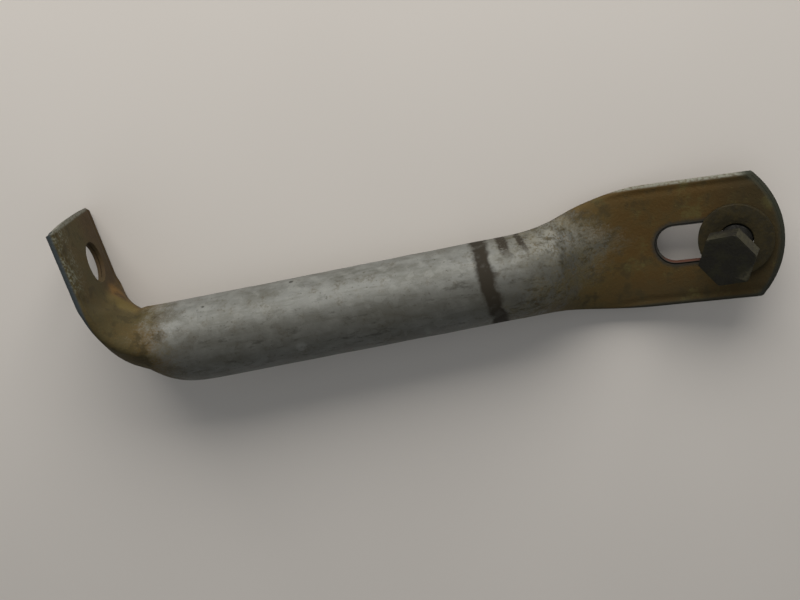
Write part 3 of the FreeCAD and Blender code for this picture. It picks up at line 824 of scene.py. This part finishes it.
def roughened(value, pattern, reach):
    """A distance pushed about by a pattern, up to this many mm further."""
    return reckon(tree, "MULTIPLY_ADD", pattern, mm(reach), value)


def ramp(axis, low, high, to_low=0.0, to_high=1.0):
    """A smooth step along X, Y or Z, between two places in mm."""
    return between(tree, axes[axis], mm(low), mm(high), to_low, to_high)


def off_spot(spot):
    """Distance from a spot, in metres."""
    return add_node(tree, "ShaderNodeVectorMath", {"operation": "DISTANCE"}, {
        0: place, 1: tuple(spot)}).outputs["Value"]


ZINC_DULL = "#5c5d57"
ZINC_MIDDLE = "#6d6f6b"
ZINC_PALE = "#878984"
ZINC_STAIN = "#4c483c"
UNDERSIDE_PAINTED_SHADE = "#3f3d34"
zinc = coat(tree, ZINC_DULL, ZINC_MIDDLE, between(tree, clouds, 0.36, 0.6))
zinc = coat(tree, zinc, ZINC_PALE, between(tree, patches, 0.48, 0.72, 0, 0.45))
zinc = coat(tree, zinc, ZINC_DULL, between(tree, streaks, 0.54, 0.7, 0, 0.55))
zinc = coat(tree, zinc, ZINC_PALE, between(tree, flake_tone, 0.6, 1.0, 0, 0.22))
zinc = coat(tree, zinc, ZINC_STAIN, both(between(tree, patches, 0.5, 0.36),
                                         between(tree, specks, 0.42, 0.6, 0.1, 0.55)))
# painted shade: the zinc is darkened on the lower side of the tube, away from the window light
zinc = coat(tree, zinc, UNDERSIDE_PAINTED_SHADE, both(ramp("Y", -2, -12, 0, 0.62), ramp("Y", -16, -23, 1, 0.35)))
zinc = coat(tree, zinc, "#35342d", both(between(tree, scuffs, 0.54, 0.68, 0, 0.7),
                                        ramp("Y", -2, -10, 0.35, 1)))
zinc = coat(tree, zinc, "#3a382f", between(tree, specks, 0.62, 0.72, 0, 0.6))

# %% Three knocks: mm along from the corner of the flange's bend, degrees round from +Y over the top
KNOCKS = ({"along": 29, "turn": 28, "size": 0.9}, {"along": 56, "turn": 9, "size": 1.1},
          {"along": 56, "turn": 114, "size": 0.8})
for knock in KNOCKS:
    turn = math.radians(knock["turn"])
    spot = laid(Vector((knock["along"], TUBE_RADIUS * math.cos(turn), TUBE_RADIUS * math.sin(turn))))
    distance = roughened(off_spot(spot), specks, 1.8)
    size = knock["size"]
    zinc = coat(tree, zinc, ZINC_PALE, between(tree, distance, mm(size + 2.4), mm(size + 0.9), 0, 0.3))
    zinc = coat(tree, zinc, "#26251f", between(tree, distance, mm(size + 0.7), mm(size + 0.1), 0, 0.85))

# %% Where the rust stands
FLANGE_RUST_EDGE = -83
TAB_RUST_EDGE = 62
TONGUE_MIDDLE = mm(-9)
TONGUE_SLOPE = 1.45
EDGE_RAGGED = {"patches": 16, "specks": 12, "grit": 10}
ragged = 0.0
for pattern, reach in ((patches, EDGE_RAGGED["patches"]), (specks, EDGE_RAGGED["specks"]),
                       (grit, EDGE_RAGGED["grit"])):
    ragged = reckon(tree, "ADD", roughened(ragged, pattern, reach), -mm(reach / 2))
toward_flange = reckon(tree, "ADD", axes["X"], ragged)
flange_rust = between(tree, toward_flange, mm(FLANGE_RUST_EDGE + 9), mm(FLANGE_RUST_EDGE - 6))
off_tongue = reckon(tree, "ABSOLUTE", reckon(tree, "SUBTRACT", axes["Y"], TONGUE_MIDDLE))
toward_tab = reckon(tree, "MULTIPLY_ADD", off_tongue, TONGUE_SLOPE, reckon(tree, "ADD", axes["X"], ragged))
tab_rust = between(tree, toward_tab, mm(TAB_RUST_EDGE - 18), mm(TAB_RUST_EDGE + 4))
zinc = coat(tree, zinc, "#565039", both(between(tree, toward_tab, mm(22), mm(54), 0, 0.8),
                                        between(tree, patches, 0.4, 0.62, 0.2, 1)))
zinc = coat(tree, zinc, "#39331f", both(between(tree, toward_tab, mm(20), mm(48), 0, 0.85),
                                        between(tree, scuffs, 0.5, 0.62)))
# pale zinc on the upper side of the tab's shoulder, painted brighter there as a highlight
zinc = coat(tree, zinc, "#8f918c", both(ramp("X", 26, 40), ramp("Y", -10, -3),
                                        between(tree, patches, 0.42, 0.6, 0, 0.6)))
early_specks = both(between(tree, toward_tab, mm(28), mm(56), 0, 0.7), between(tree, specks, 0.5, 0.62))
rust_share = either(flange_rust, tab_rust, early_specks)

# %% Rust colours of the tab
RUST_DEEP = "#2e2710"
RUST_OLIVE = "#463d1f"
RUST_BROWN = "#4b3c19"
RUST_ORANGE = "#6b5126"
rust = coat(tree, RUST_OLIVE, RUST_BROWN, between(tree, clouds, 0.4, 0.62))
rust = coat(tree, rust, RUST_DEEP, between(tree, patches, 0.52, 0.36, 0, 0.8))
rust = coat(tree, rust, RUST_ORANGE, between(tree, specks, 0.62, 0.72, 0, 0.4))
on_tab = ramp("X", 40, 62)
rust = coat(tree, rust, "#422f08", both(on_tab, between(tree, patches, 0.34, 0.6, 0.35, 0.9)))
tab_dark = either(ramp("X", 78, 98, 0, 0.6), ramp("Y", -18, -29, 0, 0.45))
rust = coat(tree, rust, "#1f1d0b", both(on_tab, tab_dark))
bloom = grain(tree, place, 7, detail=6, roughness=0.7, shift=(4, 7, 2))
rust = coat(tree, rust, "#4f4b27", both(on_tab, between(tree, bloom, 0.55, 0.7, 0, 0.5)))

# %% Rust colours of the flange: redder low down, orange where the bend puckered, with a painted highlight on the pucker's ledge and painted shade in the dent below it
low_half = both(ramp("Z", 19, 8), flange_rust)
rust = coat(tree, rust, "#45281c", both(low_half, between(tree, patches, 0.38, 0.6, 0.25, 0.8)))
# orange rust on the pucker, painted brighter as a highlight on its ledge
pucker = both(ramp("Y", 8, 5), ramp("Y", -6, -1), ramp("Z", 21, 12), flange_rust)
rust = coat(tree, rust, "#6c5024", both(pucker, between(tree, patches, 0.42, 0.6, 0.1, 0.9)))
rust = coat(tree, rust, "#37321b", both(ramp("X", -84, -92), between(tree, patches, 0.36, 0.6, 0.2, 0.6)))
# each spot: how far past the bend's start, how far across, how deep, then its reach, colour and share
# the two orange spots are orange rust with a painted highlight on the ledge; the dark spot is painted shade
# in the dent under it
BEND_SPOTS = ((6, 4, 3, 8.0, "#63562a", 0.7), (10, 9, -1, 4.2, "#74562a", 0.6),
              (8, 8, 1, 3.0, "#241b0d", 0.8))
flange_path = PATHS["flange"]
for past, aside, depth, reach, tone, share in BEND_SPOTS:
    origin, forward, across_dir, up = place_on_path(flange_path, flange_path["straight"] + past)
    distance = off_spot(laid(origin + across_dir * aside + up * depth))
    distance = roughened(roughened(distance, patches, 5), specks, 4)
    rust = coat(tree, rust, tone, between(tree, distance, mm(reach + 5), mm(reach * 0.4 + 4), 0, share))

# %% Zinc left on the flange and along the folds, with a painted highlight on the tab's upper fold
(box_left, _, _), (box_right, box_far, box_top) = [[side / MM for side in corner] for corner in cad_box]
scabs = both(ramp("Z", 25, 36), between(tree, specks, 0.48, 0.58, 0, 0.75),
             between(tree, patches, 0.4, 0.55), ramp("Y", 8, 18, 0, 0.6))
rust = coat(tree, rust, "#7c8174", scabs)
off_middle = reckon(tree, "SUBTRACT", axes["Y"], laid(Vector((0, 0, 0))).y)
# pale zinc on the tab's upper fold, painted lighter on this upper side only as a highlight; the flange's bare
# cut end is its own colour
tab_fold_zinc_and_highlight = both(between(tree, off_middle, mm(FLAT_HALF_WIDTH - 1.1), mm(FLAT_HALF_WIDTH - 0.4)),
                ramp("X", 36, 42))
flange_end = ramp("Y", box_far - 1.7, box_far - 0.9)
rust = coat(tree, rust, "#75766b", both(either(tab_fold_zinc_and_highlight, flange_end),
                                        between(tree, specks, 0.36, 0.56, 0.35, 0.95)))

# %% Painted shade with a bluish painted reflection: a dark strip along the outer half of the flange's upper fold
STRIP_CORNER = 18.7
hole_mount = mounts["flange_hole"]
flange_out = Vector(hole_mount["axis"]).xy.normalized()
flange_along = Vector((flange_out.y, -flange_out.x))
strip_centre = Vector(hole_mount["pos_m"]).xy - flange_along * mm(STRIP_CORNER)
strip_centre -= flange_out * mm(FLANGE["radius"] + FLAT_THICKNESS)
aside_x = reckon(tree, "SUBTRACT", axes["X"], strip_centre.x)
aside_y = reckon(tree, "SUBTRACT", axes["Y"], strip_centre.y)
off_plane = reckon(tree, "MULTIPLY_ADD", aside_x, flange_out.x, both(aside_y, flange_out.y))
off_centre = reckon(tree, "SQRT", reckon(tree, "MULTIPLY_ADD", aside_x, aside_x, both(aside_y, aside_y)))
outward = add_node(tree, "ShaderNodeMix", {"data_type": "FLOAT"}, {
    0: between(tree, aside_y, mm(0.5), mm(-0.5)), 2: off_plane, 3: off_centre}).outputs[0]
# painted shade and a bluish painted reflection on the flange's fold, as a dark blue-grey strip
strip = both(ramp("Z", box_top - 5.5, box_top - 3.0), ramp("X", box_left + 38.3, box_left + 24.3),
             between(tree, outward, mm(10.6), mm(11.4)), 0.9)
rust = coat(tree, rust, "#2f373b", strip)

# %% Painted shade around the slot and along the lower fold, dark scale along the rounded end
SLOT_PAINTED_SHADE = "#1f2322"
END_SCALE = "#242920"
END_CURVE = 26.7
slot_reach = (SLOT["length"] / 2 - SLOT["radius"]) * tab_ahead.x
past_slot = reckon(tree, "ABSOLUTE", reckon(tree, "SUBTRACT", axes["X"], laid(slot_middle).x))
past_slot = reckon(tree, "MAXIMUM", reckon(tree, "SUBTRACT", past_slot, mm(slot_reach)), 0.0)
off_middle_squared = both(off_middle, off_middle)
from_slot = reckon(tree, "SQRT", reckon(tree, "MULTIPLY_ADD", past_slot, past_slot, off_middle_squared))
# painted shade: a dark band around the slot's rim
slot_rim = between(tree, roughened(from_slot, specks, 1.5), mm(8.6), mm(6.8), 0, 0.85)
rust = coat(tree, rust, SLOT_PAINTED_SHADE, both(slot_rim, on_tab))
# reddish rust on the slot's lower rim, painted lighter there as its lit edge: real rust with a painted
# highlight
rust = coat(tree, rust, "#4a2a1c", both(between(tree, from_slot, mm(5.9), mm(5.6), 0, 0.9),
                                        between(tree, off_middle, mm(-3), mm(-5)), on_tab))
from_arc = reckon(tree, "SUBTRACT", axes["X"], mm(box_right - END_CURVE))
from_arc = reckon(tree, "SQRT", reckon(tree, "MULTIPLY_ADD", from_arc, from_arc, off_middle_squared))
end_rim = between(tree, roughened(from_arc, specks, 1.5), mm(END_CURVE - 2.1), mm(END_CURVE - 0.1), 0, 0.8)
rust = coat(tree, rust, END_SCALE, both(end_rim, ramp("X", 86, 92)))
# painted shade: a dark line along the tab's lower fold
lower_fold_painted_shade = between(tree, off_middle, mm(1.8 - FLAT_HALF_WIDTH), mm(0.8 - FLAT_HALF_WIDTH), 0, 0.8)
rust = coat(tree, rust, "#24261d", both(lower_fold_painted_shade, on_tab))
surface = coat(tree, zinc, rust, rust_share)

# %% Grime band and paint marks across the tube
def band(middle, half_width, slant, waver):
    """A stripe across the tube that leans and wavers, 1 in its middle."""
    along = roughened(reckon(tree, "MULTIPLY_ADD", axes["Y"], slant, axes["X"]), patches, waver)
    off = reckon(tree, "ABSOLUTE", reckon(tree, "SUBTRACT", along, mm(middle + waver / 2)))
    return between(tree, off, mm(half_width), mm(half_width * 0.45))


GRIME = "#221d12"
STROKE_GRIME = "#282319"
grime = both(band(middle=15.2, half_width=3.4, slant=0.12, waver=5),
             between(tree, patches, 0.34, 0.48, 0.8, 1))
surface = coat(tree, surface, GRIME, grime)
upper_side = ramp("Y", -5, -1)
stroke = both(band(middle=22.0, half_width=1.9, slant=0.45, waver=4), upper_side)
surface = coat(tree, surface, STROKE_GRIME, both(stroke, between(tree, specks, 0.3, 0.45, 0.5, 1)))
small_mark = both(band(middle=27.2, half_width=1.2, slant=0.6, waver=3), upper_side)
surface = coat(tree, surface, STROKE_GRIME, both(small_mark, between(tree, specks, 0.32, 0.46, 0.4, 0.95)))
soiled = either(rust_share, grime, stroke, small_mark)

# %% Gloss and relief of the tube
RUST_ROUGHNESS = 0.82
ZINC_METAL = 0.3
zinc_rough = between(tree, patches, 0.3, 0.7, 0.52, 0.64)
roughness = add_node(tree, "ShaderNodeMix", {"data_type": "FLOAT"}, {
    0: soiled, 2: zinc_rough, 3: RUST_ROUGHNESS}).outputs[0]
metal = between(tree, soiled, 0.0, 0.8, ZINC_METAL, 0.0)
shader.inputs["Specular IOR Level"].default_value = 0.3
relief = reckon(tree, "MULTIPLY_ADD", specks, reckon(tree, "MULTIPLY_ADD", rust_share, 0.7, 0.12),
                reckon(tree, "MULTIPLY", patches, 0.35))
relief = reckon(tree, "MULTIPLY_ADD", grit, reckon(tree, "MULTIPLY_ADD", rust_share, 0.25, 0.06), relief)
bump = add_node(tree, "ShaderNodeBump", sockets={"Height": relief, "Strength": 0.55, "Distance": mm(0.35)})
for socket, value in (("Base Color", surface), ("Roughness", roughness), ("Metallic", metal),
                      ("Normal", bump.outputs[0])):
    tree.links.new(value, shader.inputs[socket])
tube.data.materials.clear()
tube.data.materials.append(tube_finish)
print("tube finish has", len(tree.nodes), "nodes")

# %% [markdown]
# ## Rusty plated fasteners
# The bolt and washer left the factory with a thin yellow-passivated zinc plate. Outdoors it is used up
# quickly, and what is left is a tight dark brown rust with an olive cast where the plate lingers. Only
# the bolt's rubbed edges show paler metal, and its shank under the head is painted near black as shade.

# %% Fastener finish
def rusted_plate(name, dark, olive, bright, worn=None):
    """Rust over worn plate; the bolt, which has a worn colour, is rubbed at its edges too, and gets painted
    shade on its shank under the head.
    """
    finish, tree, shader, place = new_finish(name)
    patches = grain(tree, place, 3.2, detail=4)
    specks = grain(tree, place, 0.7, detail=4, shift=(2, 8, 5))
    grit = grain(tree, place, 0.3, detail=2, shift=(6, 2, 9))
    colour = coat(tree, dark, olive, between(tree, patches, 0.42, 0.62))
    colour = coat(tree, colour, bright, between(tree, specks, 0.58, 0.72, 0, 0.55))
    if worn:
        edge = add_node(tree, "ShaderNodeNewGeometry").outputs["Pointiness"]
        rubbed = reckon(tree, "MULTIPLY", between(tree, edge, 0.54, 0.64, 0, 0.5),
                        between(tree, specks, 0.35, 0.6, 0.25, 1))
        colour = coat(tree, colour, worn, rubbed)
        # the shank below the head is painted near black: painted shade in the gap under the head
        below_head = add_node(tree, "ShaderNodeVectorMath", {"operation": "SUBTRACT"}, {
            0: place, 1: tuple(bolt_matrix.translation)}).outputs[0]
        below_head = add_node(tree, "ShaderNodeVectorMath", {"operation": "DOT_PRODUCT"}, {
            0: below_head, 1: tuple(bolt_matrix.col[2][:3])}).outputs["Value"]
        colour = coat(tree, colour, "#0a0906", between(tree, below_head, mm(-0.2), mm(-0.8), 0, 0.8))
    rough = between(tree, specks, 0.35, 0.65, 0.62, 0.85)
    relief = reckon(tree, "MULTIPLY_ADD", specks, 0.7, reckon(tree, "MULTIPLY", patches, 0.5))
    relief = reckon(tree, "MULTIPLY_ADD", grit, 0.25, relief)
    bump = add_node(tree, "ShaderNodeBump", sockets={"Height": relief, "Strength": 0.6, "Distance": mm(0.3)})
    shader.inputs["Metallic"].default_value = 0.1
    shader.inputs["Specular IOR Level"].default_value = 0.3
    for socket, value in (("Base Color", colour), ("Roughness", rough), ("Normal", bump.outputs[0])):
        tree.links.new(value, shader.inputs[socket])
    print(name, "has", len(tree.nodes), "nodes")
    return finish


washer.data.materials.clear()
washer.data.materials.append(rusted_plate("rusted_plated_washer", "#201b08", "#2b240c", "#382f11"))
bolt.data.materials.clear()
bolt.data.materials.append(rusted_plate(
    "rusted_plated_bolt", "#121007", "#191809", "#242010", worn="#4a4736"))

# %% [markdown]
# ## Table, light and camera
# The table is a plain pale sheet. One wide soft light stands low beyond the top of the view, as a
# window does; a weaker one hangs overhead, and an even sky fills the shadows. The camera looks down
# at the stay, a little from its lower right, with an ordinary lens.

# %% Table
TABLE_SIZE = 3.0
bpy.ops.object.select_all(action="DESELECT")
bpy.ops.mesh.primitive_plane_add(size=TABLE_SIZE, location=(0, 0, 0))
table = bpy.context.object
table.name = "table"
table_finish, tree, shader, place = new_finish("plain_pale_laminate")
tone = grain(tree, place, 140, detail=2)
tree.links.new(coat(tree, "#c3bfb8", "#cbc7c0", tone), shader.inputs["Base Color"])
shader.inputs["Roughness"].default_value = 0.75
table.data.materials.append(table_finish)

# %% Light
def soft_light(name, spot, target, size, power, colour):
    """A soft rectangular light that faces its target."""
    lamp = bpy.data.lights.new(name, "AREA")
    lamp.shape = "RECTANGLE"
    lamp.size, lamp.size_y = size
    lamp.energy = power
    lamp.color = linear(colour)[:3]
    item = bpy.data.objects.new(name, lamp)
    bpy.context.scene.collection.objects.link(item)
    item.location = spot
    item.rotation_euler = (Vector(target) - Vector(spot)).to_track_quat("-Z", "Y").to_euler()


SKY_STRENGTH = 0.27
soft_light("window", spot=(0.05, 0.62, 0.36), target=(0, 0.02, 0), size=(0.8, 0.5), power=7.2,
           colour="#fffaf6")
soft_light("room", spot=(-0.1, 0.1, 1.1), target=(0, 0, 0), size=(1.0, 1.0), power=1.2, colour="#f4f6ff")
world = bpy.data.worlds.new("even_sky")
world.use_nodes = True
world.node_tree.nodes["Background"].inputs["Color"].default_value = linear("#e6e8ea")
world.node_tree.nodes["Background"].inputs["Strength"].default_value = SKY_STRENGTH
bpy.context.scene.world = world
bpy.context.scene.view_settings.view_transform = "Standard"
print("light and sky set")

# %% Camera
LENS = 48.4
SENSOR = 36.0
CAMERA_SPOT = (18.98, 77.08, 326.93)
CAMERA_RIGHT = Vector((0.9796, -0.19758, -0.03671))
CAMERA_BACK = Vector((0.0915, 0.27587, 0.95683)).normalized()
camera_up = CAMERA_BACK.cross(CAMERA_RIGHT).normalized()
camera_right = camera_up.cross(CAMERA_BACK)
camera_data = bpy.data.cameras.new("camera")
camera_data.lens = LENS
camera_data.sensor_width = SENSOR
camera_data.sensor_fit = "HORIZONTAL"
camera_data.clip_start = 0.01
camera = bpy.data.objects.new("camera", camera_data)
bpy.context.scene.collection.objects.link(camera)
camera_turn = Matrix((camera_right, camera_up, CAMERA_BACK)).transposed().to_4x4()
camera.matrix_world = Matrix.Translation(Vector(CAMERA_SPOT) * MM) @ camera_turn
bpy.context.scene.camera = camera
print("camera stands", round(CAMERA_SPOT[2]), "mm above the table")
